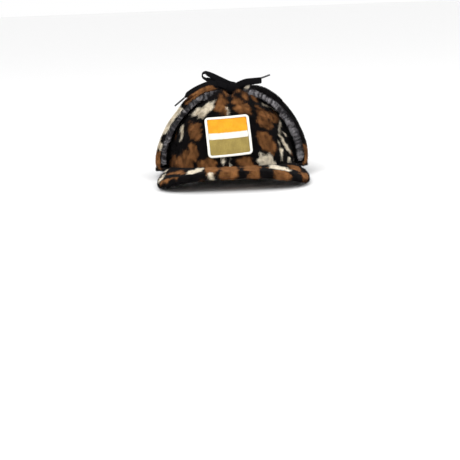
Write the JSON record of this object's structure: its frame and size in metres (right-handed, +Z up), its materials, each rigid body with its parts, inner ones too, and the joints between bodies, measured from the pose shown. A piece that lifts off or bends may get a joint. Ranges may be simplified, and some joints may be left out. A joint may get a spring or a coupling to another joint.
{
  "type": "earflap cap",
  "caption": "Six-panel fleece cap with a padded brim, pile-lined ear flaps turned up and tied over the crown with a flat lace, and a square embroidered patch.",
  "frame": {"origin": "middle of the cap's bounding box in plan, at the lowest point of its rim, where it rests", "axes": "+Z up through the crown, -Y the way the brim points, +X to the right as seen from the front"},
  "size_m": [0.2022, 0.274, 0.1381],
  "materials": {
    "printed_fleece": "high-pile fleece with a printed pattern of brown, black and cream",
    "grey_pile": "curly grey pile",
    "orange_thread": "satin embroidery thread",
    "white_thread": "satin embroidery thread",
    "olive_thread": "satin embroidery thread",
    "black_lace": "woven polyester lace",
    "black_tip": "smooth, satin gloss"
  },
  "bodies": {
    "root": {"crown_front_left": "printed_fleece", "crown_front_right": "printed_fleece", "crown_side_left": "printed_fleece", "crown_side_right": "printed_fleece", "crown_back_left": "printed_fleece", "crown_back_right": "printed_fleece", "brim": "printed_fleece", "flap_left": "printed_fleece", "flap_right": "printed_fleece", "flap_lining_left": "grey_pile", "flap_lining_right": "grey_pile", "patch_upper_field": "orange_thread", "patch_band": "white_thread", "patch_lower_field": "olive_thread", "patch_border": "white_thread", "lace_run_left": "black_lace", "lace_run_right": "black_lace", "lace_knot": "black_lace", "lace_loop_left": "black_lace", "lace_loop_right": "black_lace", "lace_tail_left": "black_lace", "lace_tail_right": "black_lace", "aglet_left": "black_tip", "aglet_right": "black_tip"}
  },
  "joints": []
}
